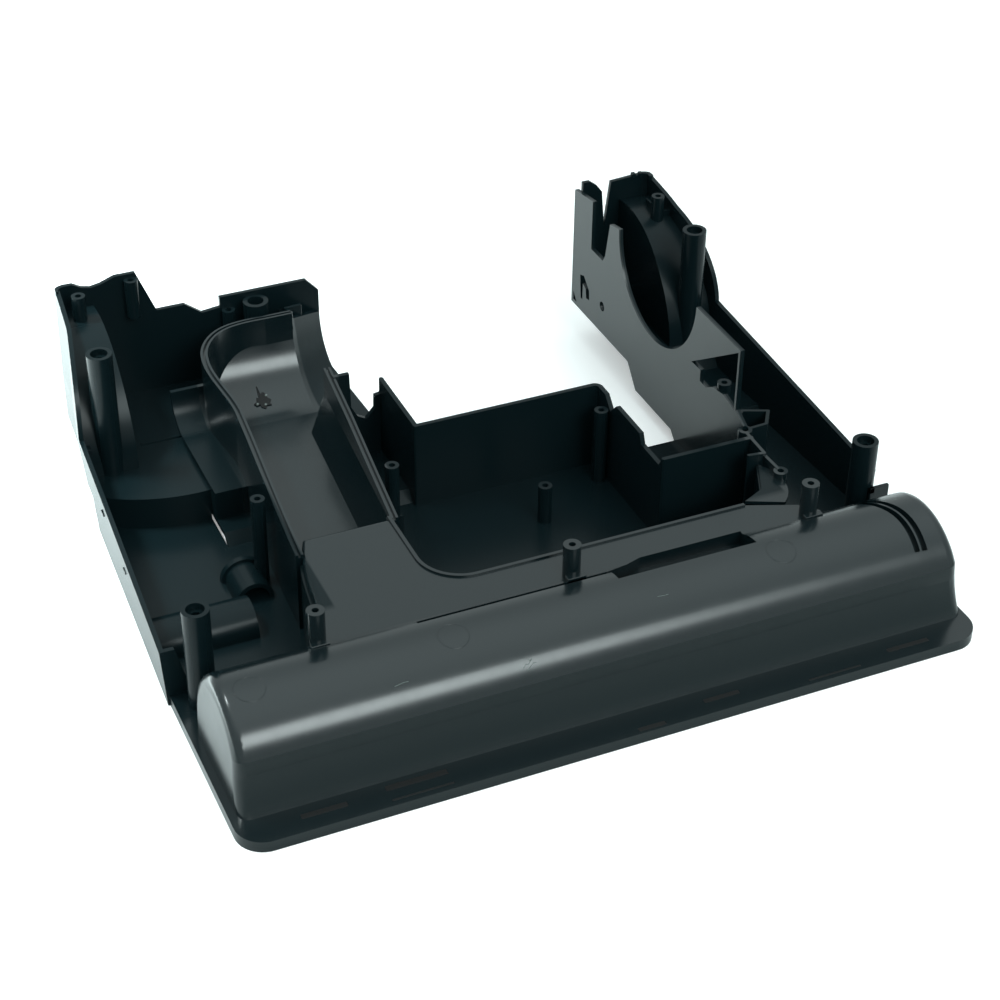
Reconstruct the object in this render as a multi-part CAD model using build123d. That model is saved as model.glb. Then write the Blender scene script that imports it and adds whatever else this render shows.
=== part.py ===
"""Lower base housing of an upright vacuum cleaner's floor head, one black plastic moulding.

X runs along the front edge, to the right.  Y runs to the rear, Z up.  While it is built, Y
counts from the front edge; the finished moulding is moved so that its origin is on the bottom
plane, under the middle of its length and depth.
"""
from build123d import *
import os
from math import cos, hypot, radians, sqrt

# ---------------------------------------------------------------- whole moulding
front_width = 340.0           # flange, left edge to right edge
body_depth = 310.0            # front edge to the outer face of the rear walls
body_height = 88.0            # top of the rear walls
wall = 2.2                    # outer walls, hood and floors
rib = 1.6                     # stiffening ribs and gussets
floor_top = 5.3               # upper face of the flange and of the floors
half = front_width / 2
rear = body_depth
tall = body_height + 20

# ---------------------------------------------------------------- flange
flange_corner = 12.6          # front corner radius in plan
flange_lip = 2.4              # width of the lip that the flange rests on
flange_rear = 101.0           # where the flange ends at the sides
slot_depth = 0.8              # shallow slots in the flange's top

# ---------------------------------------------------------------- brush chamber hood
hood_left_gap = 3.2           # flange edge to the hood's left end
hood_right_gap = 1.0          # flange edge to the hood's right end
hood_axis_y = 45.4            # axis of the hood's arched top
hood_axis_z = 20.0
hood_radius = 28.8
hood_crease = 22.5            # degrees above the axis where the arch meets the upright front
hood_left_draft = 2.0         # lean of the ends over the hood's height
hood_right_draft = 5.5
hood_end_radius = 5.0         # rounding of the ends into the front, top and rear
hood_flare = 4.3              # how far the front curves out to its foot
hood_flare_top = 24.0         # height where that curve starts
pad = 1.8                     # extra wall inside the hood under the track and the seam
track_depth = 3.0             # curved track over the hood's right end
track_width = 6.4
track_ridge = 1.0             # ridge left standing along the track's middle
trench_left = 13.0            # trench between hood and ledge, right of the middle
trench_right = 79.0
trench_taper = 17.0           # length of its slanting left end
trench_front = 48.0
trench_rear = 62.0
trench_floor = 38.6
seam_left = 75.0              # thin groove from there, left of the middle, along the ledge's front
seam_y = 55.6
seam_width = 2.0
seam_depth = 1.6

# ---------------------------------------------------------------- ledge and neck
ledge_height = 45.0           # upper face of the ledge behind the hood
ledge_depth = 78.3            # rear edge of the ledge
ledge_inset = 54.0            # its ends, from the flange's edge
ledge_half_length = half - ledge_inset
neck_rear = 131.0             # rear edge of the neck's cover
neck_left = ledge_half_length - 18.0    # left edge of the cover, from the middle
neck_right = neck_left - 40.0           # right edge of the cover
neck_corner = 20.0            # inner corner between neck and ledge
lip_height = 0.8              # raised line round the bay's edge
cover_roll = 3.0              # rounding along the cover's left and rear edges

# ---------------------------------------------------------------- side walls
rim_front = 29.0              # height of the side rim at its front end
rim_kink = 43.4               # height of the side rim where the fender starts
side_front = 99.0             # front end of the side walls
fender_length = 66.6          # from the rear to where the rim turns up into the fender
fender_front = rear - fender_length
belt_line = 45.0              # height where the fenders start to lean in
foot_front = 0.9              # outer face at the foot, from the flange's edge, front to rear
foot_mid = -6.1
foot_rear = -11.5
belt_front = 3.6              # the same at the belt line
belt_mid = -3.2
belt_rear = -11.5
top_mid = -4.8                # and at the very top
top_rear = -13.6
fender_waist = rear - 31.0    # where the fenders are pinched, with their three offsets there
foot_waist = -9.4
belt_waist = -9.4
top_waist = -11.6
corner_radius = 6.0           # upright corners at the rear, in plan

# ---------------------------------------------------------------- posts and bosses
front_post_inset = 11.8       # from the flange's edge
front_post_y = 89.6
front_post_top = 54.8
rear_post_inset = 17.8
rear_post_y = rear - 62.0
rear_post_top = body_height - 3.2
post_diameter = 12.0
post_bore = 8.0               # counterbore for the screw's head
post_bore_depth = 3.0
screw_depth = 21.0            # depth of the tall posts' screw holes
screw_hole = 4.0
boss_diameter = 7.8
boss_top = 61.0
boss_y = 62.5
ledge_boss_x = (-ledge_half_length, -2.0, ledge_half_length - 3.0)
boss_hole = 3.0
boss_hole_depth = 12.0

# ---------------------------------------------------------------- motor bay
pod_face = half - 54.5        # left face of the right pod's inner wall
bay_height = 50.0             # top of the bay's walls
bay_rear = 187.0
bay_right = pod_face - 44.9
bay_corner = 3.0              # rear right corner in plan
step_rear = 118.4             # cross wall right of the bay
step_right = pod_face - 0.2   # right end of the cross wall

# ---------------------------------------------------------------- duct trough
duct_left = neck_left - 0.5   # left wall's centre line at its widest, from the middle
duct_right = neck_left - 51.0 # right wall's centre line at the rear
duct_outer = duct_right - 20.6          # right end of the left rear wall
duct_rear = rear - 20.0       # centre line of the scoop's rear rim
duct_floor = 22.0
duct_rim = 60.0               # rim height at the rear
scoop_radius = 34.0
rim_wall = 3.4                # the duct's rims carry a groove for the cover's tongue
rim_groove = 1.2
rim_groove_depth = 1.4
right_wall_rear = rear - 71.0 # rear end of the duct's right wall
wall_lean = 8.0               # how far that wall leans, foot to rim
turn_radius = 24.0            # curved sheet right of the scoop
belly_left = neck_left - 3.0  # hollow under the duct's floor, from the middle
belly_right = neck_right + 6.0
belly_front = 135.0
belly_top = 12.0

# ---------------------------------------------------------------- right pod
pod_top = body_height - 1.0
rear_lift = 19.5              # underside under the rear wheels
mid_lift = 8.0                # underside between there and the flat front part
mid_lift_front = rear - 116.0
rear_lift_front = rear - 72.0
lift_slope = 5.0              # run of each step from one level to the next
cutout_radius = 41.0
cutout_y = rear - 92.0
well_inner = half - 30.0      # inner side of both wheel wells
well_top = body_height - 13.0
wing_x = duct_outer - 3.6     # left wing of the motor bay, from the middle
wing_rear = rear - 79.0
box_rear = bay_rear + 1.0     # rear edge of the floor behind the cross wall
hump_y = 133.0                # half-round hump behind the left front post
hump_radius = 12.0
hump_right = duct_left + 25.0 # its right end, from the middle
channel_left = duct_left + 17.5         # left edge of the channel along the duct
tunnel_x = channel_left + 1.0 # small half-round tunnel beside the hump
tunnel_y = 147.0
tunnel_radius = 8.8
tunnel_length = 20.0
tunnel_collar = 1.4           # raised ring round the tunnel's rear end
channel_front = rear - 105.0
channel_floor = 25.0
channel_curve = 16.0          # radius of its curved rear end
channel_rear = rear - 39.0
step_front = rear - 95.2      # front of the curved step in the left pod's floor
left_lift_front = rear - 78.0 # where the left pod's underside lifts

# ---------------------------------------------------------------- small bosses
small_boss = 6.6              # diameter of the other bosses, each as (x, y, bottom, top)
ring_boss = (-duct_left + 36.5, rear - 8.0, 45.0, 63.0)
ring_diameter = 12.6          # of the wide ring boss at the left rear wall
small_bosses = [
    (-half + 21.0, rear - 15.0, body_height - 18.0, body_height + 1.0),
    (-half + 49.0, rear - 4.5, body_height - 22.0, body_height - 2.0),
    (-duct_left + 23.5, rear - 4.5, 45.0, 59.0),
    (half - 20.0, rear - 26.0, body_height - 18.0, body_height - 1.0),
    (pod_face + 4.0, 153.0, 30.0, 58.5),
    (-duct_left - 10.9, 159.9, 3.1, 50.0),
    (-neck_right + 16.0, 168.0, 3.1, 45.0),
    (bay_right - 5.1, 172.5, 3.1, 45.0),
    (27.7, 152.3, 3.1, 25.0),
    (pod_face + 0.4, 125.0, 3.1, 50.0),
    (pod_face + 0.5, 92.0, 3.1, 48.0),
]


# ================================================================ building blocks
def slab(points, bottom, top):
    """Flat plate: a plan outline raised from bottom to top."""
    face = make_face(Polyline(*points, close=True))
    return Pos(0, 0, bottom) * extrude(face, top - bottom)


def plate_x(points, left, right):
    """Upright plate facing sideways: a (y, z) outline between two X positions."""
    face = Plane.YZ * make_face(Polyline(*points, close=True))
    return Pos(left, 0, 0) * extrude(face, right - left)


def plate_y(points, front, back):
    """Upright plate facing front: an (x, z) outline between two Y positions."""
    face = Plane.XZ * make_face(Polyline(*points, close=True))
    return Pos(0, back, 0) * extrude(face, back - front)


def strip(start, end, thickness, bottom):
    """Upright wall between two (x, y, top) points, with a straight sloping top."""
    length = hypot(end[0] - start[0], end[1] - start[1])
    along = (end[0] - start[0], end[1] - start[1], 0)
    side = Plane(origin=(start[0], start[1], 0), x_dir=along, z_dir=(along[1], -along[0], 0))
    outline = Polyline((0, bottom), (length, bottom), (length, end[2]), (0, start[2]), close=True)
    return extrude(side * make_face(outline), thickness / 2, both=True)


def run(points, thickness, bottom):
    """Strips from point to point, with a round upright at each turn."""
    pieces = [strip(a, b, thickness, bottom) for a, b in zip(points, points[1:])]
    pieces += [column(x, y, bottom, top, thickness) for x, y, top in points]
    return pieces


def column(x, y, bottom, top, diameter):
    """Plain upright cylinder."""
    centred = (Align.CENTER, Align.CENTER, Align.MIN)
    return Pos(x, y, bottom) * Cylinder(diameter / 2, top - bottom, align=centred)


def boss_holes(x, y, top, diameter, depth):
    """Blind hole of a screw boss."""
    return column(x, y, top - depth, top + 1, diameter)


def both_sides(solid):
    """The solid and its mirror image about the middle plane."""
    return [solid, mirror(solid, about=Plane.YZ)]


# ================================================================ flange and hood
def flange_plan(inset):
    """Plan of the flange, square at the rear and round at the front."""
    left = -half + inset
    right = half - inset
    corner = flange_corner - inset
    path = FilletPolyline(
        (left, flange_rear - inset),
        (left, inset),
        (right, inset),
        (right, flange_rear - inset),
        radius=corner,
    )
    return make_face(path + Line(path @ 1, path @ 0))


def hood_form(inset):
    """Outer form of the hood moved in by the inset, down to the bottom plane."""
    radius = hood_radius - inset
    reach = hood_radius * cos(radians(hood_crease)) - inset
    rise = sqrt(radius ** 2 - reach ** 2)
    front = hood_axis_y - reach
    back = hood_axis_y + radius
    foot = front - hood_flare
    outline = (
        Line((foot, 0), (foot, floor_top))
        + ThreePointArc(
            (foot, floor_top),
            (front - hood_flare * 0.28, (floor_top + hood_flare_top) / 2),
            (front, hood_flare_top),
        )
        + Line((front, hood_flare_top), (front, hood_axis_z + rise))
        + ThreePointArc(
            (front, hood_axis_z + rise),
            (hood_axis_y, hood_axis_z + radius),
            (back, hood_axis_z),
        )
        + Line((back, hood_axis_z), (back, 0))
        + Line((back, 0), (foot, 0))
    )
    left = -half + hood_left_gap + inset
    right = half - hood_right_gap - inset
    body = Pos(left, 0, 0) * extrude(Plane.YZ * make_face(outline), right - left)
    crest = hood_axis_z + hood_radius
    ends = plate_y(
        [(left, 0), (right, 0), (right - hood_right_draft, crest), (left + hood_left_draft, crest)],
        0,
        body_depth,
    )
    form = body & ends
    left_end = form.faces().sort_by(Axis.X)[0]
    right_end = form.faces().sort_by(Axis.X)[-1]
    edges = [e for e in left_end.edges() + right_end.edges() if e.center().Z > 1]
    return fillet(edges, hood_end_radius - inset)


def flange_and_hood():
    """Flange plate with the hood's outer form."""
    return extrude(flange_plan(0), floor_top) + hood_form(0)


def hood_track():
    """Curved double track sunk into the hood's right end, from its rear down its front."""
    start = (half - 31.0, 62.0)
    path = Spline(
        start, (half - 26.5, 52.5), (half - 23.0, 42.0), (half - 21.8, 32.0), (half - 21.8, 24.5)
    )
    groove = trace(path, track_width) - trace(path, track_ridge)
    pocket = Pos(*start) * Circle(track_width * 0.7)
    return extrude(groove + pocket, body_height) & (hood_form(-1.0) - hood_form(track_depth))


def hood_trench():
    """Trench between the hood's crest and the ledge's front edge."""
    top = hood_axis_z + hood_radius + wall
    outline = [
        (trench_left, trench_front),
        (trench_right, trench_front),
        (trench_right, trench_rear),
        (trench_left + trench_taper, trench_rear),
        (trench_left, seam_y + seam_width / 2),
    ]
    return slab(outline, trench_floor, top)


def ledge_seam():
    """Thin groove along the ledge's front edge, left of the trench."""
    bottom = hood_axis_z + sqrt(hood_radius ** 2 - (seam_y - hood_axis_y) ** 2) - seam_depth
    length = seam_left + trench_left
    return Pos(trench_left - length / 2, seam_y, bottom + body_height / 2) * Box(
        length, seam_width, body_height
    )


def hood_pads():
    """Extra walls inside the hood: under the track, under the seam and round the trench."""
    layer = hood_form(wall) - hood_form(wall + pad)
    under_track = Pos(half - 26.0, hood_axis_y, tall / 2) * Box(4 * track_width, 2 * hood_radius, tall)
    under_seam = Pos(-seam_left / 2 + trench_left, seam_y, tall / 2) * Box(
        seam_left + 4 * pad, 4 * seam_width, tall
    )
    trough = slab(
        [
            (trench_left - wall, trench_front - wall),
            (trench_right + wall, trench_front - wall),
            (trench_right + wall, trench_rear + wall),
            (trench_left - wall, trench_rear + wall),
        ],
        trench_floor - wall,
        tall,
    )
    return [layer & under_track, layer & under_seam, hood_form(wall) & trough]


def flange_slots():
    """Shallow slots in the flange's top, in front of the hood."""
    slots = [
        (-143.6, -124.0, 8.4, 1.8),
        (-107.3, -80.4, 10.4, 2.0),
        (-107.2, -80.3, 3.2, 0.8),
        (1.8, 14.4, 2.4, 1.6),
        (35.1, 52.1, 7.9, 1.6),
        (82.8, 108.7, 2.6, 0.8),
        (124.2, 145.1, 6.5, 1.6),
    ]
    return [
        Pos((start + end) / 2, y, floor_top) * Box(end - start, width, 2 * slot_depth)
        for start, end, y, width in slots
    ]


# ================================================================ side walls
def side_stations():
    """Stations along a side wall: y, and the offsets of foot, belt line and top."""
    return [
        (side_front, foot_front, belt_front, belt_front),
        (fender_front, foot_mid, belt_mid, top_mid),
        (fender_waist, foot_waist, belt_waist, top_waist),
        (rear, foot_rear, belt_rear, top_rear),
    ]


def side_section(y, foot_x, belt_x, top_x):
    """Section of the right side wall, leaning between foot, belt line and top."""
    outer = [(foot_x, 0), (belt_x, belt_line), (top_x, tall)]
    inner = [(x - wall, z) for x, z in reversed(outer)]
    plane = Plane(origin=(0, y, 0), x_dir=(1, 0, 0), z_dir=(0, -1, 0))
    return plane * make_face(Polyline(*outer, *inner, close=True))


def fender_outline():
    """Side view of a side wall, from the low rim at the front up over the fender."""
    line = Polyline(
        (rear, body_height),
        (rear, 0),
        (side_front, 0),
        (side_front, rim_front),
        (fender_front, rim_kink),
    )
    arch = Spline(
        (fender_front, rim_kink),
        (fender_front + 5.5, body_height - 28.0),
        (fender_front + 20.5, body_height - 13.0),
        (fender_front + 44.2, body_height - 4.0),
        (rear, body_height),
    )
    return make_face(line + arch)


def front_return():
    """Right end plate that closes the front of the side wall, leaning down to the flange."""
    outline = [
        (half + foot_front - 0.5, floor_top - wall),
        (half + belt_front - 2.4, rim_front),
        (half - 4.0, rim_front),
        (half - 10.0, floor_top),
        (half - 10.0, floor_top - wall),
    ]
    return plate_y(outline, side_front, side_front + wall)


def right_side_wall():
    """Right side wall with its fender; the left one mirrors it."""
    sections = [
        side_section(y, half + foot, half + belt, half + top) for y, foot, belt, top in side_stations()
    ]
    skin = loft(sections, ruled=True)
    outline = extrude(Plane.YZ * fender_outline(), half + 2 * wall)
    return skin & outline


def inner_arch(lift):
    """Curved skin over a wheel well, moved up by the lift, as a filled side view."""
    top = Spline(
        (fender_front + 3.0, floor_top + lift),
        (fender_front + 5.0, well_top - 35.0 + lift),
        (fender_front + 17.6, well_top - 16.0 + lift),
        (fender_front + 28.6, well_top - 6.0 + lift),
        (rear - 25.0, well_top + lift),
        (rear, well_top + lift),
    )
    foot = fender_front + 3.0
    base = Polyline((rear, well_top + lift), (rear, 0), (foot, 0), (foot, floor_top + lift))
    return make_face(top + base)


def wheel_well():
    """Left wheel well: an arched skin from the side wall in to its own inner wall."""
    skin = inner_arch(0) - Pos(wall, -wall) * inner_arch(0)
    arch = Pos(-half + 1, 0, 0) * extrude(Plane.YZ * skin, half - 1 - well_inner)
    side = Pos(-well_inner - wall, 0, 0) * extrude(Plane.YZ * inner_arch(-wall / 2), wall)
    return [piece & envelope() for piece in (arch, side)]


# ================================================================ floors and rear walls
def underside(raised):
    """Side view below the floors' undersides, or below their upper faces if raised."""
    return [
        (flange_rear - wall, -1.0),
        (flange_rear - wall, floor_top - wall + raised),
        (mid_lift_front - lift_slope, floor_top - wall + raised),
        (mid_lift_front, mid_lift + raised),
        (rear_lift_front - lift_slope, mid_lift + raised),
        (rear_lift_front + lift_slope, rear_lift + raised),
        (rear + 1.0, rear_lift + raised),
        (rear + 1.0, -1.0),
    ]


def envelope():
    """Everything between the outer faces of the side walls."""
    sections = []
    for y, foot_x, belt_x, top_x in side_stations():
        right_side = [(half + foot_x, 0), (half + belt_x, belt_line), (half + top_x, tall)]
        left_side = [(-x, z) for x, z in reversed(right_side)]
        plane = Plane(origin=(0, y, 0), x_dir=(1, 0, 0), z_dir=(0, -1, 0))
        sections.append(plane * make_face(Polyline(*right_side, *left_side, close=True)))
    return loft(sections, ruled=True)


def left_step_line():
    """Plan of the curved step in the left pod's floor, from the side wall to the channel."""
    return ThreePointArc(
        (-half + 6.0, step_front + 14.0),
        (-half + 20.5, step_front + 5.8),
        (-channel_left + 2.0, step_front),
    )


def floors():
    """Floors of both pods and the motor bay, stepping up under the rear wheels."""
    width = half + 2 * wall
    sheet = plate_x(underside(wall), -width, width) - plate_x(underside(0), -2 * width, 2 * width)
    plan = [
        (-channel_left, side_front),
        (-channel_left, rear),
        (-duct_outer, rear),
        (-wing_x, wing_rear),
        (-wing_x, bay_rear),
        (bay_right, bay_rear),
        (bay_right, box_rear),
        (pod_face, box_rear),
        (pod_face, rear),
        (width, rear),
        (width, side_front),
    ]
    behind_hood = slab(
        [
            (-half + wall, hood_axis_y + hood_radius - wall),
            (-half + wall, flange_rear),
            (half - wall, flange_rear),
            (half - wall, hood_axis_y + hood_radius - wall),
        ],
        floor_top - wall,
        floor_top,
    )
    step = left_step_line()
    inner = -channel_left + 2.0
    low_side = Polyline(
        step @ 1, (inner, side_front), (-width, side_front), (-width, step_front + 14.0), step @ 0
    )
    high_side = Polyline(step @ 1, (inner, rear), (-width, rear), step @ 0)
    low = Pos(0, 0, floor_top - wall) * extrude(make_face(step + low_side), wall)
    high = Pos(0, 0, rear_lift) * extrude(make_face(step + high_side), wall)
    riser = Pos(0, 0, floor_top - wall) * extrude(trace(step, wall), rear_lift + 2 * wall - floor_top)
    cross_rib = Pos(-half + 47.0, step_front + 47.0, rear_lift + wall) * Box(22.0, rib, rib)
    parts = [sheet & slab(plan, 0, body_height), low, high, riser, cross_rib]
    return [part & envelope() for part in parts] + [behind_hood]


def left_rear_wall():
    """Rear wall from the left fender to the duct, with its stepped top."""
    top = body_height
    step = duct_rim + 5.3
    outline = [
        (-half + 13.0, top),
        (-half + 21.5, top),
        (-half + 26.0, top - 2.6),
        (-half + 30.0, top - 3.5),
        (-half + 35.0, top - 2.6),
        (-half + 42.0, top),
        (-half + 52.0, top),
        (-half + 61.0, step),
        (-half + 75.0, step),
        (-half + 83.5, step - 6.5),
        (-half + 92.5, step - 5.5),
        (-half + 92.5, step),
        (-duct_outer - 6.3, step),
        (-duct_outer, step - 7.0),
        (-duct_outer, rear_lift),
        (-half + 11.5, rear_lift),
    ]
    return plate_y(outline, rear - wall, rear)


def right_rear_wall():
    """Rear wall of the right pod, with the V gap beside the inner wall."""
    top = body_height
    outline = [
        (half - 14.0, top),
        (half - 35.0, top - 1.5),
        (half - 38.0, top - 27.0),
        (half - 40.0, top - 6.0),
        (half - 43.0, top - 2.0),
        (half - 47.0, top + 1.0),
        (half - 51.0, top + 1.0),
        (half - 51.0, top - 5.0),
        (pod_face, top - 5.0),
        (pod_face, rear_lift),
        (half - 11.5, rear_lift),
    ]
    return plate_y(outline, rear - wall, rear)


# ================================================================ ledge and neck
def bay_edge():
    """Centre line of the ledge's rear edge, round the inner corner and up the neck."""
    return FilletPolyline(
        (ledge_half_length - 26.0, ledge_depth),
        (-neck_right, ledge_depth),
        (-neck_right, neck_rear),
        radius=neck_corner,
    )


def ledge_side():
    """Left edge of the neck's cover, from its rear corner down to the hood."""
    return Spline(
        (-neck_left, neck_rear),
        (-neck_left - 6.0, 112.0),
        (-neck_left - 8.5, 97.0),
        (-neck_left - 10.5, 84.0),
        (-ledge_half_length - 3.0, boss_y),
    )


def ledge():
    """Ledge behind the hood with the neck's cover, and the wall under its rear edge."""
    hidden = hood_axis_y + hood_radius * 0.4
    edge = bay_edge()
    side = ledge_side()
    rest = Polyline(
        (-ledge_half_length - 3.0, boss_y),
        (-ledge_half_length - 3.0, hidden),
        (ledge_half_length + 3.0, hidden),
        (ledge_half_length + 3.0, boss_y),
        (ledge_half_length - 4.0, boss_y + 7.0),
        (ledge_half_length - 26.0, ledge_depth),
    )
    outline = edge + Line((-neck_right, neck_rear), (-neck_left, neck_rear)) + side + rest
    cover = Pos(0, 0, ledge_height - 2 * wall) * extrude(make_face(outline), 2 * wall)
    upper = cover.edges().filter_by_position(Axis.Z, ledge_height, ledge_height)
    rolled = [e for e in upper if e.center().X < -neck_right - 5 and e.center().Y > boss_y + 5]
    cover = fillet(rolled, cover_roll)
    skirt_plan = trace(edge, wall)
    skirt = Pos(0, 0, floor_top - wall) * extrude(skirt_plan, ledge_height - floor_top + wall)
    lip_plan = trace(edge, rib)
    lip = Pos(0, 0, ledge_height - wall) * extrude(lip_plan, wall + lip_height)
    left_skirt = extrude(trace(side, wall), ledge_height - floor_top - cover_roll)
    return [cover, skirt, lip, Pos(0, 0, floor_top - wall) * left_skirt]


# ================================================================ rear corners
def corner_centre():
    """Middle of the right rear corner's rounding."""
    return half + foot_rear - corner_radius, rear - corner_radius


def rear_corners():
    """Quarter-round walls inside both rear corners, cut to the side walls' lean."""
    x, y = corner_centre()
    round_wall = column(x, y, rear_lift, body_height, 2 * corner_radius + 1)
    round_wall -= column(x, y, rear_lift - 1, body_height + 1, 2 * (corner_radius - wall))
    quarter = Pos(x + corner_radius, y + corner_radius, tall / 2) * Box(
        2 * corner_radius, 2 * corner_radius, 2 * tall
    )
    return [piece & envelope() for piece in both_sides(round_wall & quarter)]


def corner_cuts():
    """What lies outside the rounding of both rear corners."""
    x, y = corner_centre()
    block = Pos(x + corner_radius, y + corner_radius, tall / 2) * Box(
        2 * corner_radius, 2 * corner_radius, 2 * tall
    )
    return both_sides(block - column(x, y, -tall, 2 * tall, 2 * corner_radius))


# ================================================================ duct trough
def duct_left_line():
    """Centre line of the duct's left rim, from the neck's corner round the scoop's rear."""
    curve = Spline(
        (-duct_left + 1.0, duct_rear - 68.0),
        (-duct_left - 1.5, duct_rear - 40.0),
        (-duct_left, duct_rear - 20.0),
        (-duct_left + 5.0, duct_rear - 10.5),
        (-duct_left + 13.5, duct_rear - 3.0),
        (-duct_left + 25.0, duct_rear),
        (-duct_right - 14.0, duct_rear),
    )
    start = Polyline((-neck_left - 5.0, neck_rear - 11.0), (-neck_left - 3.0, neck_rear + 24.0), curve @ 0)
    return start + curve + Line(curve @ 1, (-duct_right, duct_rear))


def rim_side(drop):
    """Side view under the duct's rims, which climb from the ledge to the rear."""
    points = [
        (boss_y - 5.0, 0),
        (boss_y - 5.0, ledge_height - drop),
        (neck_rear - 6.0, ledge_height - drop),
        (neck_rear + 33.0, ledge_height + 4.5 - drop),
        (duct_rear - 90.0, ledge_height + 9.0 - drop),
        (duct_rear - 35.0, duct_rim - 1.5 - drop),
        (duct_rear - 22.0, duct_rim - drop),
        (rear, duct_rim - drop),
        (rear, 0),
    ]
    return plate_x(points, -ledge_half_length - 10, -duct_outer)


def duct_right_wall():
    """Right wall of the duct, leaning out from its foot to the grooved rim, and its groove."""
    start = (-neck_right + 2.0, neck_rear - 2.0)
    end = (-duct_right, right_wall_rear)
    length = hypot(end[0] - start[0], end[1] - start[1])
    side = Plane(
        origin=(start[0], start[1], 0),
        x_dir=(end[1] - start[1], start[0] - end[0], 0),
        z_dir=(start[0] - end[0], start[1] - end[1], 0),
    )
    height = duct_rim + 5
    bend = ledge_height - wall
    foot = floor_top - wall
    section = Polyline(
        (rim_wall / 2, height),
        (rim_wall / 2, bend),
        (rim_wall / 2 - wall_lean, duct_floor - wall),
        (rim_wall / 2 - wall_lean, foot),
        (-rim_wall / 2 - wall_lean, foot),
        (-rim_wall / 2 - wall_lean, duct_floor - wall),
        (-rim_wall / 2, bend),
        (-rim_wall / 2, height),
        close=True,
    )
    groove = Line(start, end)
    body = extrude(side * make_face(section), -length)
    return body & rim_side(0), extrude(trace(groove, rim_groove), height) - rim_side(rim_groove_depth)


def arc_band(y, z, radius):
    """Side view of a quarter-round sheet, from the floor up to the rear."""
    ring = Circle(radius + wall) - Circle(radius)
    return Pos(y, z) * (ring & Pos(radius, -radius) * Rectangle(2 * radius, 2 * radius))


def duct():
    """Trough from the neck to the scoop at the rear, with grooved rims."""
    left = duct_left_line()
    height = duct_rim + 5
    left_wall = Pos(0, 0, floor_top - wall) * extrude(trace(left, rim_wall), height) & rim_side(0)
    left_groove = extrude(trace(left, rim_groove), height) - rim_side(rim_groove_depth)
    right_wall, right_groove = duct_right_wall()
    floor_rear = duct_rear - scoop_radius
    floor = slab(
        [
            (-neck_left - 5.0, neck_rear - 20.0),
            (-duct_left + 1.0, duct_rear - 68.0),
            (-duct_left - 1.0, floor_rear),
            (-duct_outer, floor_rear),
            (-duct_outer, right_wall_rear - 8.0),
            (-duct_right - wall_lean, right_wall_rear - 8.0),
            (-neck_right - wall_lean, neck_rear - 20.0),
        ],
        duct_floor - wall,
        duct_floor,
    )
    middle = -duct_right
    closing = Polyline(left @ 1, (0, duct_rear), (0, neck_rear - 11.0), left @ 0)
    inside = extrude(make_face(left + closing), body_height)
    band = arc_band(floor_rear, duct_floor + scoop_radius, scoop_radius)
    scoop = Pos(-duct_left - 1.0, 0, 0) * extrude(Plane.YZ * band, middle + duct_left + 1.0) & inside
    turn_rear = rear - wall - turn_radius
    turn_band = arc_band(turn_rear, duct_floor + turn_radius, turn_radius)
    sections = [Plane.YZ.offset(middle) * band, Plane.YZ.offset(-duct_outer) * turn_band]
    turn = loft(sections, ruled=True)
    apron = slab(
        [(middle, floor_rear), (-duct_outer, floor_rear), (-duct_outer, turn_rear)],
        duct_floor - wall,
        duct_floor,
    )
    tab = run(
        [
            (middle, duct_rear, duct_rim),
            (middle, duct_rear + 8.0, duct_rim - 2.0),
            (middle + 7.5, duct_rear + 8.5, duct_rim - 2.0),
        ],
        rib,
        duct_rim - 8.0,
    )
    low = duct_floor + 20.0
    high = duct_rim - 8.0
    link = plate_x(
        [(duct_rear, low), (rear, low), (rear, high), (duct_rear, high)], middle - rib / 2, middle + rib / 2
    )
    sheets = [floor, scoop, turn, apron, link] + tab
    return [left_wall, right_wall], [left_groove, right_groove], sheets


# ================================================================ motor bay
def motor_bay():
    """Upright walls of the motor bay, its left wing and the cross wall on the right."""
    bottom = floor_top - wall
    rear_line = FilletPolyline(
        (-wing_x, bay_rear),
        (bay_right, bay_rear),
        (bay_right, bay_rear - 10.0),
        radius=bay_corner,
    )
    rear_wall = Pos(0, 0, bottom) * extrude(trace(rear_line, wall), bay_height - bottom)
    side = [
        (bay_rear - 10.0, bay_height),
        (bay_rear - 16.0, bay_height - 6.0),
        (bay_rear - 21.5, bay_height),
        (bay_rear - 46.0, bay_height),
        (bay_rear - 48.0, bay_height - 5.0),
        (step_rear + 3.0, bay_height - 5.0),
        (step_rear, bay_height),
        (step_rear, bottom),
        (bay_rear - 10.0, bottom),
    ]
    right_wall = plate_x(side, bay_right - wall / 2, bay_right + wall / 2)
    cross = run(
        [(bay_right, step_rear, bay_height), (step_right, step_rear, bay_height)], wall, bottom
    )
    wing = run(
        [(-wing_x, bay_rear, bay_height), (-wing_x, wing_rear, bay_height)], wall, bottom
    )
    notch = [
        (-wing_x, bay_height),
        (-wing_x - 0.9, bay_height - 7.8),
        (-wing_x - 3.8, bay_height - 8.2),
        (-wing_x - 4.0, bay_height - 15.3),
        (-wing_x - 8.2, bay_height - 20.2),
        (-wing_x - 12.7, bay_height - 17.7),
        (-wing_x - 15.8, bay_height - 11.7),
        (-wing_x - 16.3, bay_height + 6.9),
        (-duct_right, bay_height + 6.9),
        (-duct_right, bottom),
        (-wing_x, bottom),
    ]
    wing_back = plate_y(notch, wing_rear - wall / 2, wing_rear + wall / 2)
    box = slab(
        [
            (bay_right, step_rear),
            (bay_right, box_rear),
            (pod_face + wall, box_rear),
            (pod_face + wall, step_rear),
        ],
        bottom,
        floor_top,
    )
    return [rear_wall, right_wall, wing_back, box] + cross + wing


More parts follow.
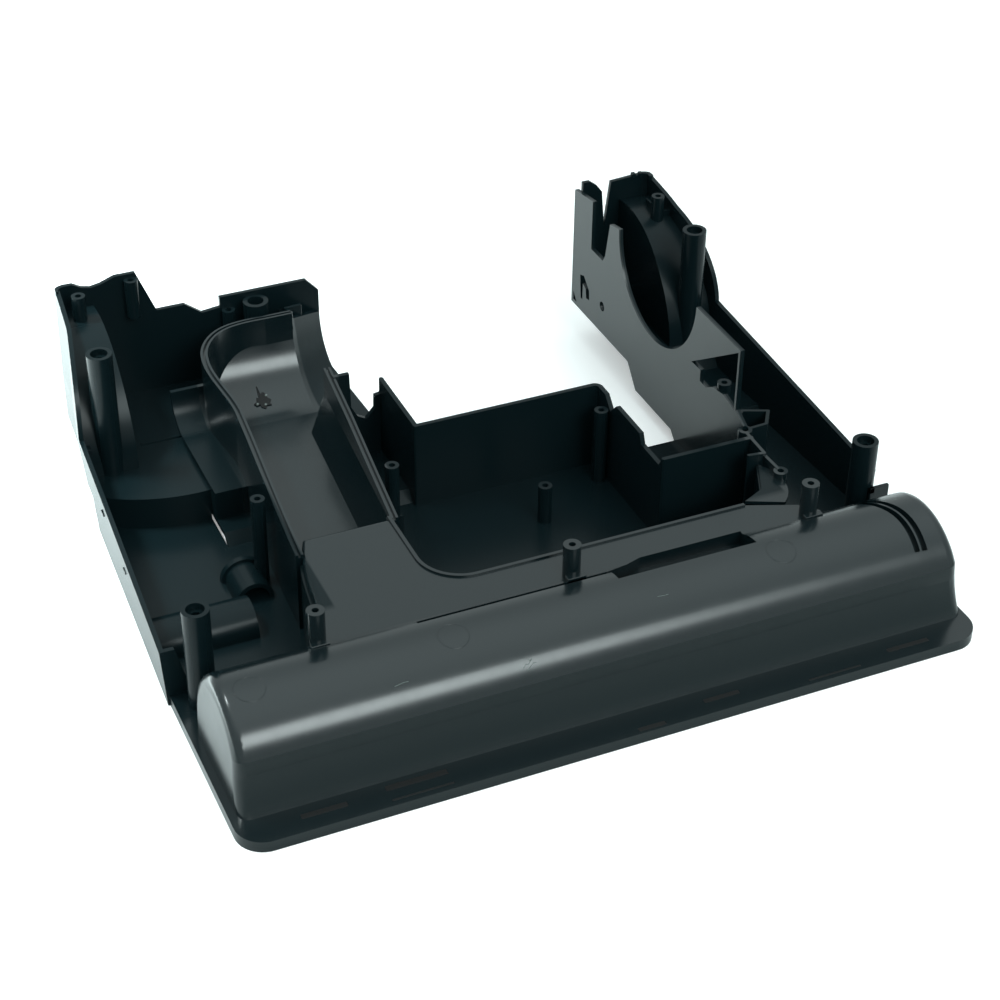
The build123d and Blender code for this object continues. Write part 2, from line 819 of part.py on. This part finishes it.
def right_ribs():
    """Ribs between the cross wall, the pod's front boss and the ledge."""
    bottom = floor_top - wall
    top = bay_height
    spine = run(
        [(step_right, step_rear + 6.6, top), (step_right - 0.6, 105.0, top)], rib, bottom
    )
    tail = run([(step_right - 8.0, 106.0, top), (step_right - 0.6, 105.0, top)], rib, bottom)
    link = run([(step_right - 0.6, 104.0, top - 1.0), (step_right + 0.7, 92.0, top - 2.0)], rib, bottom)
    cell = run(
        [
            (step_right, step_rear + 6.6, top),
            (pod_face + 12.0, 125.8, top),
            (pod_face + 18.1, 135.0, top),
            (pod_face + 7.0, 139.7, top),
            (pod_face + 1, 135.0, top),
        ],
        rib,
        bottom,
    )
    tip = (step_right - 4.0, 104.0)
    knee = (step_right - 12.0, 86.5)
    heel = (step_right - 7.3, 73.5)
    edges = Polyline(tip, knee, (step_right - 23.3, 81.0), heel)
    edges += ThreePointArc(heel, (step_right + 0.7, 90.0), tip)
    fan = Pos(0, 0, ledge_height - rib) * extrude(make_face(edges), rib)
    prop = run([(*knee, ledge_height - rib / 2), (*tip, ledge_height - rib / 2)], rib, bottom)
    return spine + tail + link + cell + prop + [fan]


# ================================================================ right pod
def pod_inner_wall():
    """Tall inner wall of the right pod, with the axle cut-out, finger and window."""
    top = pod_top
    outline = [
        (rear, top - 2.0),
        (rear, rear_lift + 9.5),
        (rear - 7.0, rear_lift + 1.5),
        (rear - 12.0, rear_lift),
        (rear_lift_front + lift_slope, rear_lift),
        (rear_lift_front - lift_slope, mid_lift),
        (mid_lift_front, mid_lift),
        (mid_lift_front - lift_slope, floor_top - wall),
        (step_rear + 6.0, floor_top - wall),
        (step_rear + 6.0, bay_height),
        (134.5, 55.0),
        (134.5, top),
        (cutout_y - cutout_radius, top),
        (cutout_y + cutout_radius, top),
        (rear - 41.0, top - 2.0),
        (rear - 37.0, top - 22.0),
        (rear - 34.5, top - 26.0),
        (rear - 21.0, top - 26.0),
        (rear - 21.0, top + 1.0),
    ]
    sheet = plate_x(outline, pod_face, pod_face + wall)
    cutout = Pos(pod_face, cutout_y, top + 1) * (Rot(0, 90, 0) * Cylinder(cutout_radius, 3 * wall))
    window = plate_x(
        [
            (178.3, 56.5),
            (169.0, 57.0),
            (169.0, 51.0),
            (163.0, 50.8),
            (157.0, 54.5),
            (146.5, 56.5),
            (136.0, 54.0),
            (136.0, top - 1.8),
        ],
        pod_face - 1,
        pod_face + wall + 1,
    )
    hole = Pos(pod_face, rear - 36.0, 35.0) * (Rot(0, 90, 0) * Cylinder(2.6, 3 * wall))
    hook = plate_x(
        [
            (rear - 11.0, 27.0),
            (rear - 9.5, 40.0),
            (rear - 14.0, 41.5),
            (rear - 20.5, 36.0),
            (rear - 21.0, 30.5),
            (rear - 17.5, 30.0),
            (rear - 16.5, 35.0),
            (rear - 13.0, 36.5),
            (rear - 13.0, 27.0),
        ],
        pod_face - 1,
        pod_face + wall + 1,
    )
    return sheet - cutout - window - hole - hook


# ================================================================ left pod
def quarter_rise():
    """Side view of the channel's top: level, then curving up to the rear."""
    bend = channel_rear - channel_curve
    sheet = arc_band(bend, channel_floor + channel_curve, channel_curve)
    level = Pos((channel_front + bend) / 2, channel_floor - wall / 2) * Rectangle(bend - channel_front, wall)
    return sheet + level


def left_pod():
    """Hump over the front wheel, small tunnel and the channel beside the duct."""
    bottom = floor_top - wall
    hump_left = -half - foot_front + 1
    low = (Align.CENTER, Align.CENTER, Align.MIN)
    above = Pos(0, hump_y, bottom) * Box(front_width, 8 * hump_radius, 2 * hump_radius, align=low)
    hump = Pos(hump_left, hump_y, floor_top) * (Rot(0, 90, 0) * Cylinder(
        hump_radius, -hump_right - hump_left, align=low
    ))
    hollow = Pos(hump_left, hump_y, floor_top) * (Rot(0, 90, 0) * Cylinder(
        hump_radius - wall, -hump_right - hump_left - wall, align=low
    ))
    tunnel = Pos(-tunnel_x, tunnel_y, floor_top) * (Rot(-90, 0, 0) * Cylinder(
        tunnel_radius, tunnel_length, align=low
    ))
    collar_y = tunnel_y + tunnel_length - 2 * tunnel_collar
    collar = Pos(-tunnel_x, collar_y, floor_top) * (Rot(-90, 0, 0) * Cylinder(
        tunnel_radius + tunnel_collar, 2 * tunnel_collar, align=low
    ))
    bore = Pos(-tunnel_x, tunnel_y - 1, floor_top) * (Rot(-90, 0, 0) * Cylinder(
        tunnel_radius - wall, tunnel_length + 2, align=low
    ))
    tube = ((tunnel + collar) & above) - (bore & Pos(0, 0, wall) * above)
    channel = Pos(-channel_left, 0, 0) * extrude(Plane.YZ * quarter_rise(), channel_left - duct_left)
    skirt = strip(
        (-channel_left + rib / 2, channel_front, channel_floor - rib),
        (-channel_left + rib / 2, channel_rear - channel_curve, channel_floor - rib),
        rib,
        bottom,
    )
    front = strip(
        (-channel_left, channel_front + rib / 2, channel_floor - rib),
        (-duct_left, channel_front + rib / 2, channel_floor - rib),
        rib,
        bottom,
    )
    return [(hump - hollow) & above & envelope(), tube, channel, skirt, front]


# ================================================================ posts and bosses
def tall_post(x, y, bottom, top):
    """Post with a counterbored screw hole, as a body and its hole."""
    body = column(x, y, bottom, top, post_diameter)
    hole = boss_holes(x, y, top, post_bore, post_bore_depth)
    hole += boss_holes(x, y, top, screw_hole, screw_depth)
    return body, hole


def screw_boss(x, y, bottom, top, diameter):
    """Small boss with a plain screw hole, as a body and its hole."""
    depth = min(boss_hole_depth, top - bottom - wall)
    return column(x, y, bottom, top, diameter), boss_holes(x, y, top, boss_hole, depth)


def posts():
    """Every post and boss on the moulding."""
    bottom = floor_top - wall
    made = [
        tall_post(side * x, y, bottom, top)
        for side in (-1, 1)
        for x, y, top in (
            (half - front_post_inset, front_post_y, front_post_top),
            (half - rear_post_inset, rear_post_y, rear_post_top),
        )
    ]
    boss_foot = ledge_height - wall - boss_hole_depth / 2
    for x in ledge_boss_x:
        made.append(screw_boss(x, boss_y, boss_foot, boss_top, boss_diameter))
    made += [screw_boss(x, y, low, top, small_boss) for x, y, low, top in small_bosses]
    x, y, low, top = ring_boss
    ring = column(x, y, low, top, ring_diameter)
    made.append((ring, boss_holes(x, y, top, post_bore, boss_hole_depth)))
    bodies = [body for body, hole in made]
    holes = [hole for body, hole in made]
    return bodies, holes


# ================================================================ the whole moulding
side_wall = right_side_wall()
wheel_wells = [solid for piece in wheel_well() for solid in both_sides(piece)]
duct_walls, duct_grooves, duct_sheets = duct()
post_bodies, post_holes = posts()

plates = both_sides(side_wall) + both_sides(front_return()) + wheel_wells + floors()
plates += [left_rear_wall(), right_rear_wall()] + ledge()
plates += duct_walls + duct_sheets + rear_corners()
plates += motor_bay() + right_ribs() + [pod_inner_wall()] + left_pod()

recess = extrude(flange_plan(flange_lip), floor_top - wall) - hood_form(0)
under_cut = plate_x(
    [(mid_lift_front - lift_slope, -1.0)] + underside(0)[2:], -channel_left, front_width
)
left_lift = slab(
    [
        (-front_width, left_lift_front),
        (-front_width, rear + 1),
        (-channel_left, rear + 1),
        (-channel_left, left_lift_front),
    ],
    -1.0,
    rear_lift,
)
duct_belly = slab(
    [
        (-belly_left, belly_front),
        (-belly_left, right_wall_rear + 1),
        (-belly_right, right_wall_rear + 1),
        (-belly_right, belly_front),
    ],
    -1.0,
    belly_top,
)

housing = (flange_and_hood() - recess).fuse(*plates, *post_bodies)
housing = housing.cut(*post_holes, *duct_grooves, hood_form(wall) - hood_pads())
housing = housing.cut(under_cut, left_lift, duct_belly)
housing = housing.cut(hood_track(), hood_trench(), ledge_seam(), *flange_slots(), *corner_cuts())
housing = housing.clean()

housing = Pos(0, -body_depth / 2, 0) * housing

os.makedirs("parts", exist_ok=True)
export_step(housing, "parts/base_housing.step")
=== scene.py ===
"""Studio scene of a vacuum cleaner's lower floor-head housing, one glossy black moulding."""
from math import cos, pi, radians, sin, sqrt

import bpy
from mathutils import Matrix, Vector


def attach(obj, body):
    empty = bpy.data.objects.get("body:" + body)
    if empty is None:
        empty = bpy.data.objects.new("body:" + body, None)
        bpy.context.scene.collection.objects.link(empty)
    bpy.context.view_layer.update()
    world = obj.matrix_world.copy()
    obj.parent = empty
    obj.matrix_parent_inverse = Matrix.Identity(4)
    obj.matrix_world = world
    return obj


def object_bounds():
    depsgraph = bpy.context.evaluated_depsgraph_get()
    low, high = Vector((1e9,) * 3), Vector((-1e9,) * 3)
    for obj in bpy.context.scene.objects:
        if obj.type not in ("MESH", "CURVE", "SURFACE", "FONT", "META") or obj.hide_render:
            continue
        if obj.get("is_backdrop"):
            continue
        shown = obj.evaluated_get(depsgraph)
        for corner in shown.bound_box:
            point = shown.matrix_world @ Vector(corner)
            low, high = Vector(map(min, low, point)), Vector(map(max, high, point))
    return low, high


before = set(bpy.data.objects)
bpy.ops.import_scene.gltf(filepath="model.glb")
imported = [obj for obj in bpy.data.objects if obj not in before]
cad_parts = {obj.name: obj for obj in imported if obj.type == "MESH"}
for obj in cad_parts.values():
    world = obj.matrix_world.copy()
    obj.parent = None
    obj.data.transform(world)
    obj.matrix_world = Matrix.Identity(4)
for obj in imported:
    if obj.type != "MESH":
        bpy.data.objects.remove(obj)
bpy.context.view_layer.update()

MM = 0.001
SCENE = bpy.context.scene
FRONT = -155.0                # mm, front edge of the flange; lists of small features count Y from there

# ---------------------------------------------------------------- finishes, lengths in mm
abs_black = "#0b171a"
abs_ior = 1.54
torn_ior = 1.5                # torn and scraped skin, and the painted shade in the flange's slots
flow_wave = 25.0              # waves left by the melt's flow
flow_detail = 2.0
wave_height = 0.25
wave_strength = 0.25
rub_mark = 9.0                # marks from handling
rub_detail = 6.0
gloss_low = 0.16              # roughness of the polished side
gloss_high = 0.26
gloss_mirror = 0.5            # and how much it mirrors
core_roughness = 0.27         # the core side, which mirrors less: a painted shade that darkens the inside of the pods and bay
core_shade_mirror = 0.13
core_front = -76.0            # it starts behind the ledge
core_blend = 4.0
core_rear = 154.5             # and ends inside the rear walls' outer faces
core_rear_blend = 0.5
band_blend = 1.0
duct_band = (-101.0, -45.0, 137.0)      # left, right and rear of the duct, which is polished
pod_wall_band = (112.5, 115.8, core_rear)         # the same for the right pod's inner wall
sheet_pale = -110.0           # painted shade: the sheet turns from white to grey between these, in front of the housing
sheet_fully_shaded = -190.0
sheet_white = "#ebefef"
# painted shade on the sheet in front of the housing, which its front faces mirror
sheet_painted_shade = "#9aa09f"
sheet_lift_white = 0.3        # glow that the camera sees, so that the open sheet is pure white
sheet_lift_grey = 0.85
light_tint = "#f2ffff"

# ---------------------------------------------------------------- light: headings and heights in degrees
ceiling_start = 25.0          # the room brightens from here
ceiling_end = 75.0            # up to here
room_low = 0.75
room_high = 1.5
room_seen = 1.0               # what the camera sees of the room: pure white
window_left = -8.0            # headings count from the front towards the right
window_right = 28.0
window_sill = 27.0
window_head = 44.0
window_edge = 6.0             # its soft edge: twice this wide at the sides, this high at sill and head
window_strength = 9.5
lamp_at = (-620.0, 330.0, 900.0)        # mm
lamp_size = 300.0
lamp_power = 16.0
lamp_spread = 70.0
sheet_size = 12.0             # m, half the sheet's side

# ---------------------------------------------------------------- camera, mm and degrees
camera_at = (-328.99, -747.61, 603.69)
camera_heading = -24.137
camera_down = 35.431
camera_roll = 0.75
camera_lens = 78.36
camera_sensor = 36.0


# ---------------------------------------------------------------- colours and nodes
def linear(code):
    """sRGB hex colour as linear RGBA."""
    parts = [int(code[i:i + 2], 16) / 255 for i in (1, 3, 5)]
    return tuple(c / 12.92 if c <= 0.04045 else ((c + 0.055) / 1.055) ** 2.4 for c in parts) + (1.0,)


def node(tree, kind, links=(), **values):
    """Add a node: attributes and input values by name, links as (input, source socket)."""
    made = tree.nodes.new(kind)
    for name, value in values.items():
        if hasattr(made, name):
            setattr(made, name, value)
        else:
            made.inputs[name.replace("_", " ")].default_value = value
    for name, source in links:
        tree.links.new(source, made.inputs[name])
    return made


def new_material(name):
    """Empty node material and its tree."""
    material = bpy.data.materials.new(name)
    material.use_nodes = True
    material.node_tree.nodes.clear()
    return material, material.node_tree


# ---------------------------------------------------------------- materials
def mask(tree, axis, edges):
    """1 inside every edge, falling softly to 0: edges as (letter of the axis, mm where 0, mm where 1)."""
    inside = None
    for letter, outer, inner in edges:
        edge = node(
            tree,
            "ShaderNodeMapRange",
            [("Value", axis.outputs[letter])],
            From_Min=outer * MM,
            From_Max=inner * MM,
        ).outputs["Result"]
        if inside:
            edge = node(tree, "ShaderNodeMath", [(0, inside), (1, edge)], operation="MULTIPLY").outputs[0]
        inside = edge
    return inside


def moulded_abs():
    """Injection-moulded ABS: deep black that mirrors the room, with faint flow waves and rub marks.

    The polished mould half gives a wet gloss; the core side, inside the pods and bay, is rougher and
    mirrors less: that weaker mirror is painted shade, making it look a deeper black."""
    material, tree = new_material("injection_moulded_abs_gloss")
    place = node(tree, "ShaderNodeTexCoord").outputs["Object"]
    axis = node(tree, "ShaderNodeSeparateXYZ", [("Vector", place)])
    flow = node(
        tree, "ShaderNodeTexNoise", [("Vector", place)], Scale=1 / (flow_wave * MM), Detail=flow_detail
    )
    rub = node(
        tree, "ShaderNodeTexNoise", [("Vector", place)], Scale=1 / (rub_mark * MM), Detail=rub_detail
    )
    gloss = node(
        tree, "ShaderNodeMapRange", [("Value", rub.outputs["Fac"])], To_Min=gloss_low, To_Max=gloss_high
    )
    ends = [("Y", core_front, core_front + core_blend), ("Y", core_rear, core_rear - core_rear_blend)]
    core_side_and_shade = mask(tree, axis, ends)
    for left, right, rear in (duct_band, pod_wall_band):
        edges = [("X", left - band_blend, left), ("X", right + band_blend, right)]
        band = mask(tree, axis, edges + [("Y", rear, rear - band_blend)])
        beside = node(tree, "ShaderNodeMapRange", [("Value", band)], To_Min=1.0, To_Max=0.0)
        links = [(0, core_side_and_shade), (1, beside.outputs["Result"])]
        core_side_and_shade = node(tree, "ShaderNodeMath", links, operation="MULTIPLY").outputs[0]
    # painted shade: the core side mirrors less, which darkens the inside of the pods and bay
    mirror = node(
        tree, "ShaderNodeMapRange", [("Value", core_side_and_shade)], To_Min=gloss_mirror, To_Max=core_shade_mirror
    )
    finish = node(
        tree,
        "ShaderNodeMapRange",
        [("Value", core_side_and_shade), ("To Min", gloss.outputs["Result"])],
        To_Max=core_roughness,
    )
    wave = node(
        tree,
        "ShaderNodeBump",
        [("Height", flow.outputs["Fac"])],
        Strength=wave_strength,
        Distance=wave_height * MM,
    )
    shader = node(
        tree,
        "ShaderNodeBsdfPrincipled",
        [
            ("Roughness", finish.outputs["Result"]),
            ("Specular IOR Level", mirror.outputs["Result"]),
            ("Normal", wave.outputs["Normal"]),
        ],
        Base_Color=linear(abs_black),
        IOR=abs_ior,
    )
    node(tree, "ShaderNodeOutputMaterial", [("Surface", shader.outputs["BSDF"])])
    return material


def plain_abs(name, color, roughness):
    """ABS with its skin torn or scraped off, and the dark painted shade in the flange's slots: one even
    colour with little shine.
    """
    material, tree = new_material(name)
    shader = node(
        tree, "ShaderNodeBsdfPrincipled", Base_Color=linear(color), Roughness=roughness, IOR=torn_ior
    )
    node(tree, "ShaderNodeOutputMaterial", [("Surface", shader.outputs["BSDF"])])
    return material


def paper_sweep():
    """Matt white paper: it keeps the shadow and looks pure white in the open; greyer in front, a painted
    shade that the housing's front faces mirror.
    """
    material, tree = new_material("white_paper_matt_front_shade")
    rays = node(tree, "ShaderNodeLightPath")
    place = node(tree, "ShaderNodeTexCoord").outputs["Object"]
    axis = node(tree, "ShaderNodeSeparateXYZ", [("Vector", place)])
    # painted shade: 1 where the sheet is grey in front of the housing
    front = node(
        tree,
        "ShaderNodeMapRange",
        [("Value", axis.outputs["Y"])],
        interpolation_type="SMOOTHSTEP",
        From_Min=sheet_pale * MM,
        From_Max=sheet_fully_shaded * MM,
    ).outputs["Result"]
    tone = node(
        tree, "ShaderNodeMixRGB", [("Fac", front)], Color1=linear(sheet_white), Color2=linear(sheet_painted_shade)
    )
    lit = node(tree, "ShaderNodeBsdfDiffuse", [("Color", tone.outputs[0])])
    lift = node(
        tree, "ShaderNodeMapRange", [("Value", front)], To_Min=sheet_lift_white, To_Max=sheet_lift_grey
    )
    shown = node(
        tree,
        "ShaderNodeMath",
        [(0, rays.outputs["Is Camera Ray"]), (1, lift.outputs["Result"])],
        operation="MULTIPLY",
    )
    glow = node(tree, "ShaderNodeEmission", [("Strength", shown.outputs[0])])
    both = node(tree, "ShaderNodeAddShader")
    tree.links.new(lit.outputs[0], both.inputs[0])
    tree.links.new(glow.outputs[0], both.inputs[1])
    node(tree, "ShaderNodeOutputMaterial", [("Surface", both.outputs[0])])
    return material


abs_gloss = moulded_abs()
# this dark matt ABS also serves as painted shade in the flange's open slots
abs_torn_and_slot_shade = plain_abs("torn_abs_matt_and_slot_shade", "#040607", 0.9)
abs_scraped = plain_abs("scraped_abs_grey", "#59625f", 0.6)
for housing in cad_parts.values():
    for slot in housing.material_slots:
        slot.material = abs_gloss


# ---------------------------------------------------------------- small features and marks, in mm
hood_axis = (45.4, 20.0)      # Y and Z of the hood's axis
hood_radius = 28.8
flange_top = 5.3
block_edge = 0.25             # rounding of small blocks
ring_radius = 6.5             # of the ejector pins' witness rings
ring_steps = 36
ring_width = 0.5
ring_sink = 0.1
scratch_width = 0.3
scratch_sink = 0.05
slot_spread = 1.7             # painted shade: a slot's dark band is wider than the slot
slot_sink = 1.0
slot_rise = 0.04


def on_moulding(name, data, material):
    """Object made of this mesh or curve, fixed to the moulding."""
    data.materials.append(material)
    made = bpy.data.objects.new(name, data)
    SCENE.collection.objects.link(made)
    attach(made, "root")
    return made


def piece(name, points, faces, material):
    """Piece from points in mm, with Y counted from the front edge."""
    mesh = bpy.data.meshes.new(name)
    mesh.from_pydata([(x * MM, (y + FRONT) * MM, z * MM) for x, y, z in points], [], faces)
    return on_moulding(name, mesh, material)


def block(name, low, high, material):
    """Straight block between two corners, with slightly rounded edges."""
    points = [(x, y, z) for z in (low[2], high[2]) for y in (low[1], high[1]) for x in (low[0], high[0])]
    faces = [(0, 2, 3, 1), (4, 5, 7, 6), (0, 1, 5, 4), (2, 6, 7, 3), (0, 4, 6, 2), (1, 3, 7, 5)]
    made = piece(name, points, faces, material)
    edge = made.modifiers.new("edge", "BEVEL")
    edge.width = block_edge * MM
    edge.segments = 2


def patch(name, outline, centre, climb, thick, material):
    """Thin flat patch: an outline round a centre, on a surface that climbs so many degrees rearward."""
    x, y, z = centre
    along, upward = cos(radians(climb)), sin(radians(climb))
    points = [
        (x + u, y + v * along - w * upward, z + v * upward + w * along)
        for w in (-thick, thick)
        for u, v in outline
    ]
    count = len(outline)
    sides = [(i, (i + 1) % count, (i + 1) % count + count, i + count) for i in range(count)]
    faces = [tuple(range(count))[::-1], tuple(range(count, 2 * count))] + sides
    piece(name, points, faces, material)


def line_on_hood(name, points, width, sink, material):
    """Fine raised line along the hood's arch through (x, y) points, its middle sunk this much."""
    curve = bpy.data.curves.new(name, "CURVE")
    curve.dimensions = "3D"
    curve.bevel_depth = width / 2 * MM
    curve.bevel_resolution = 1
    strand = curve.splines.new("POLY")
    strand.points.add(len(points) - 1)
    axis_y, axis_z = hood_axis
    for spot, (x, y) in zip(strand.points, points):
        z = axis_z + sqrt((hood_radius - sink) ** 2 - (y - axis_y) ** 2)
        spot.co = (x * MM, (y + FRONT) * MM, z * MM, 1.0)
    on_moulding(name, curve, material)


# witness rings of the ejector pins
turns = [2 * pi * step / ring_steps for step in range(ring_steps + 1)]
for number, (x, y) in enumerate(((-65.1, 40.7), (86.2, 39.5), (-151.5, 41.4)), 1):
    ring = [(x + ring_radius * cos(turn), y + ring_radius * sin(turn)) for turn in turns]
    line_on_hood(f"ejector_ring_{number}", ring, ring_width, ring_sink, abs_gloss)

# rubbed spot and scratches on the hood's front
scratches = [
    [(-42.0, 22.4), (-40.5, 23.4), (-39.6, 23.0), (-38.0, 24.2)],
    [(-40.8, 21.6), (-39.0, 22.3), (-37.2, 23.2), (-36.0, 23.0)],
    [(-39.4, 24.6), (-38.2, 23.8), (-37.4, 24.5)],
    [(-96.0, 27.0), (-92.0, 27.5), (-90.0, 27.4)],
    [(24.0, 33.5), (27.0, 33.2), (29.0, 33.3)],
]
for number, points in enumerate(scratches, 1):
    line_on_hood(f"scratch_{number}", points, scratch_width, scratch_sink, abs_scraped)

# painted shade: dark matt strips where the flange's slots are open: start, end, middle, width
slots = [
    (-143.6, -124.0, 8.4, 1.8),
    (-107.3, -80.4, 10.4, 2.0),
    (-107.2, -80.3, 3.2, 0.8),
    (1.8, 14.4, 2.4, 1.6),
    (35.1, 52.1, 7.9, 1.6),
    (82.8, 108.7, 2.6, 0.8),
    (124.2, 145.1, 6.5, 1.6),
]
for number, (start, end, middle, width) in enumerate(slots, 1):
    low = (start, middle - slot_spread * width / 2, flange_top - slot_sink)
    high = (end, middle + slot_spread * width / 2, flange_top + slot_rise)
    block(f"slot_painted_shade_{number}", low, high, abs_torn_and_slot_shade)

# torn hole in the duct's floor with its burr
burr = [
    (-4.6, -1.0), (-2.8, -0.2), (-2.4, 2.2), (-1.2, 1.4), (-0.9, 8.2), (-0.3, 8.3), (0.1, 3.4), (1.0, 4.6),
    (2.2, 3.8), (2.9, 0.6), (4.2, -0.4), (3.0, -1.8), (3.6, -3.4), (1.4, -3.2), (0.2, -5.0), (-1.6, -3.6),
    (-1.8, -2.0), (-3.4, -2.6),
]
patch("torn_hole", burr, (-70.0, 270.5, 25.6), 27.0, 0.5, abs_torn_and_slot_shade)
fleck = [(-0.6, -0.3), (0.1, -0.5), (0.7, 0.1), (0.2, 0.6), (-0.4, 0.4)]
for number, centre in enumerate(((-67.6, 272.2, 27.1), (-73.2, 268.8, 25.2), (-69.4, 267.6, 24.9)), 1):
    patch(f"burr_fleck_{number}", fleck, centre, 35.0, 0.4, abs_scraped)

# small blocks, hooks and ribs: low and high corners
for name, low, high in (
    ("middle_boss_block", (-6.2, 56.6, 44.0), (2.4, 60.0, 47.6)),
    ("left_boss_block", (-120.0, 57.0, 43.4), (-112.0, 60.0, 47.0)),
    ("right_boss_block", (109.0, 57.0, 43.4), (117.5, 60.0, 47.0)),
    ("right_hook_plate", (158.5, 81.5, 5.0), (168.5, 83.2, 33.0)),
    ("right_hook_tip", (158.5, 81.5, 30.0), (161.0, 89.0, 33.0)),
    ("rear_tooth_1", (147.0, 307.2, 86.0), (149.0, 309.8, 88.9)),
    ("rear_tooth_2", (151.0, 307.2, 85.6), (153.0, 309.8, 88.6)),
    ("rear_tooth_3", (154.6, 303.0, 85.4), (156.6, 305.0, 88.4)),
    ("right_boss_gusset_1", (149.4, 286.5, 66.0), (150.6, 296.0, 80.0)),
    ("right_boss_gusset_2", (153.0, 283.4, 66.0), (159.0, 284.6, 78.0)),
    ("left_wall_clip_1", (-166.0, 243.0, 36.0), (-161.5, 247.0, 38.0)),
    ("left_wall_clip_2", (-168.5, 200.0, 30.0), (-165.5, 204.0, 31.6)),
    ("left_wall_clip_3", (-170.0, 160.0, 26.0), (-167.0, 164.0, 27.6)),
    ("bay_clip", (-41.0, 170.0, 5.0), (-36.0, 172.0, 14.0)),
):
    block(name, low, high, abs_gloss)


# ---------------------------------------------------------------- floor, world and lamps
def floor():
    """Large flat sheet under the housing."""
    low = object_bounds()[0][2]
    mesh = bpy.data.meshes.new("floor")
    corners = [(x * sheet_size, y * sheet_size, low) for x, y in ((-1, -1), (1, -1), (1, 1), (-1, 1))]
    mesh.from_pydata(corners, [], [(0, 1, 2, 3)])
    mesh.materials.append(paper_sweep())
    sheet = bpy.data.objects.new("floor", mesh)
    SCENE.collection.objects.link(sheet)
    sheet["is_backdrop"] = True


def room():
    """White room, brighter overhead, with one soft window at the front right, pure white to the camera."""
    world = bpy.data.worlds.new("room")
    SCENE.world = world
    world.use_nodes = True
    tree = world.node_tree
    tree.nodes.clear()
    place = node(tree, "ShaderNodeTexCoord").outputs["Generated"]
    axis = node(tree, "ShaderNodeSeparateXYZ", [("Vector", place)])
    forward = node(tree, "ShaderNodeMath", [(0, axis.outputs["Y"])], operation="MULTIPLY")
    forward.inputs[1].default_value = -1.0
    links = [(0, axis.outputs["X"]), (1, forward.outputs[0])]
    heading = node(tree, "ShaderNodeMath", links, operation="ARCTAN2").outputs[0]
    height = node(tree, "ShaderNodeMath", [(0, axis.outputs["Z"])], operation="ARCSINE").outputs[0]
    across, upright = window_edge, window_edge / 2
    levels = []
    for angle, start, end, low, high in (
        (heading, window_left - across, window_left + across, 0.0, window_strength),
        (heading, window_right - across, window_right + across, 1.0, 0.0),
        (height, window_sill - upright, window_sill + upright, 0.0, 1.0),
        (height, window_head - upright, window_head + upright, 1.0, 0.0),
        (height, ceiling_start, ceiling_end, room_low, room_high),
    ):
        level = node(
            tree,
            "ShaderNodeMapRange",
            [("Value", angle)],
            interpolation_type="SMOOTHSTEP",
            From_Min=radians(start),
            From_Max=radians(end),
            To_Min=low,
            To_Max=high,
        )
        levels.append(level.outputs["Result"])
    level = levels[0]
    for operation, other in zip(("MULTIPLY", "MULTIPLY", "MULTIPLY", "ADD"), levels[1:]):
        level = node(tree, "ShaderNodeMath", [(0, level), (1, other)], operation=operation).outputs[0]
    rays = node(tree, "ShaderNodeLightPath")
    seen = node(
        tree,
        "ShaderNodeMix",
        [("Factor", rays.outputs["Is Camera Ray"]), ("A", level)],
        data_type="FLOAT",
        B=room_seen,
    )
    glow = node(tree, "ShaderNodeBackground", [("Strength", seen.outputs[0])], Color=linear(light_tint))
    node(tree, "ShaderNodeOutputWorld", [("Surface", glow.outputs[0])])


def side_lamp():
    """Lamp above the floor at the left rear, which brightens the sheet beside the housing."""
    lamp = bpy.data.lights.new("side_lamp", "AREA")
    lamp.shape = "DISK"
    lamp.size = lamp_size * MM
    lamp.energy = lamp_power
    lamp.spread = radians(lamp_spread)
    lamp.color = linear(light_tint)[:3]
    holder = bpy.data.objects.new("side_lamp", lamp)
    holder.location = Vector(lamp_at) * MM
    SCENE.collection.objects.link(holder)


floor()
room()
side_lamp()


# ---------------------------------------------------------------- camera
def camera():
    """Camera at the left front, looking down at the housing."""
    lens = bpy.data.cameras.new("camera")
    lens.sensor_width = camera_sensor
    lens.lens = camera_lens
    holder = bpy.data.objects.new("camera", lens)
    turn = (
        Matrix.Rotation(radians(camera_heading), 4, "Z")
        @ Matrix.Rotation(radians(90 - camera_down), 4, "X")
        @ Matrix.Rotation(radians(camera_roll), 4, "Z")
    )
    holder.matrix_world = Matrix.Translation(Vector(camera_at) * MM) @ turn
    SCENE.collection.objects.link(holder)
    SCENE.camera = holder


camera()
SCENE.view_settings.view_transform = "Standard"
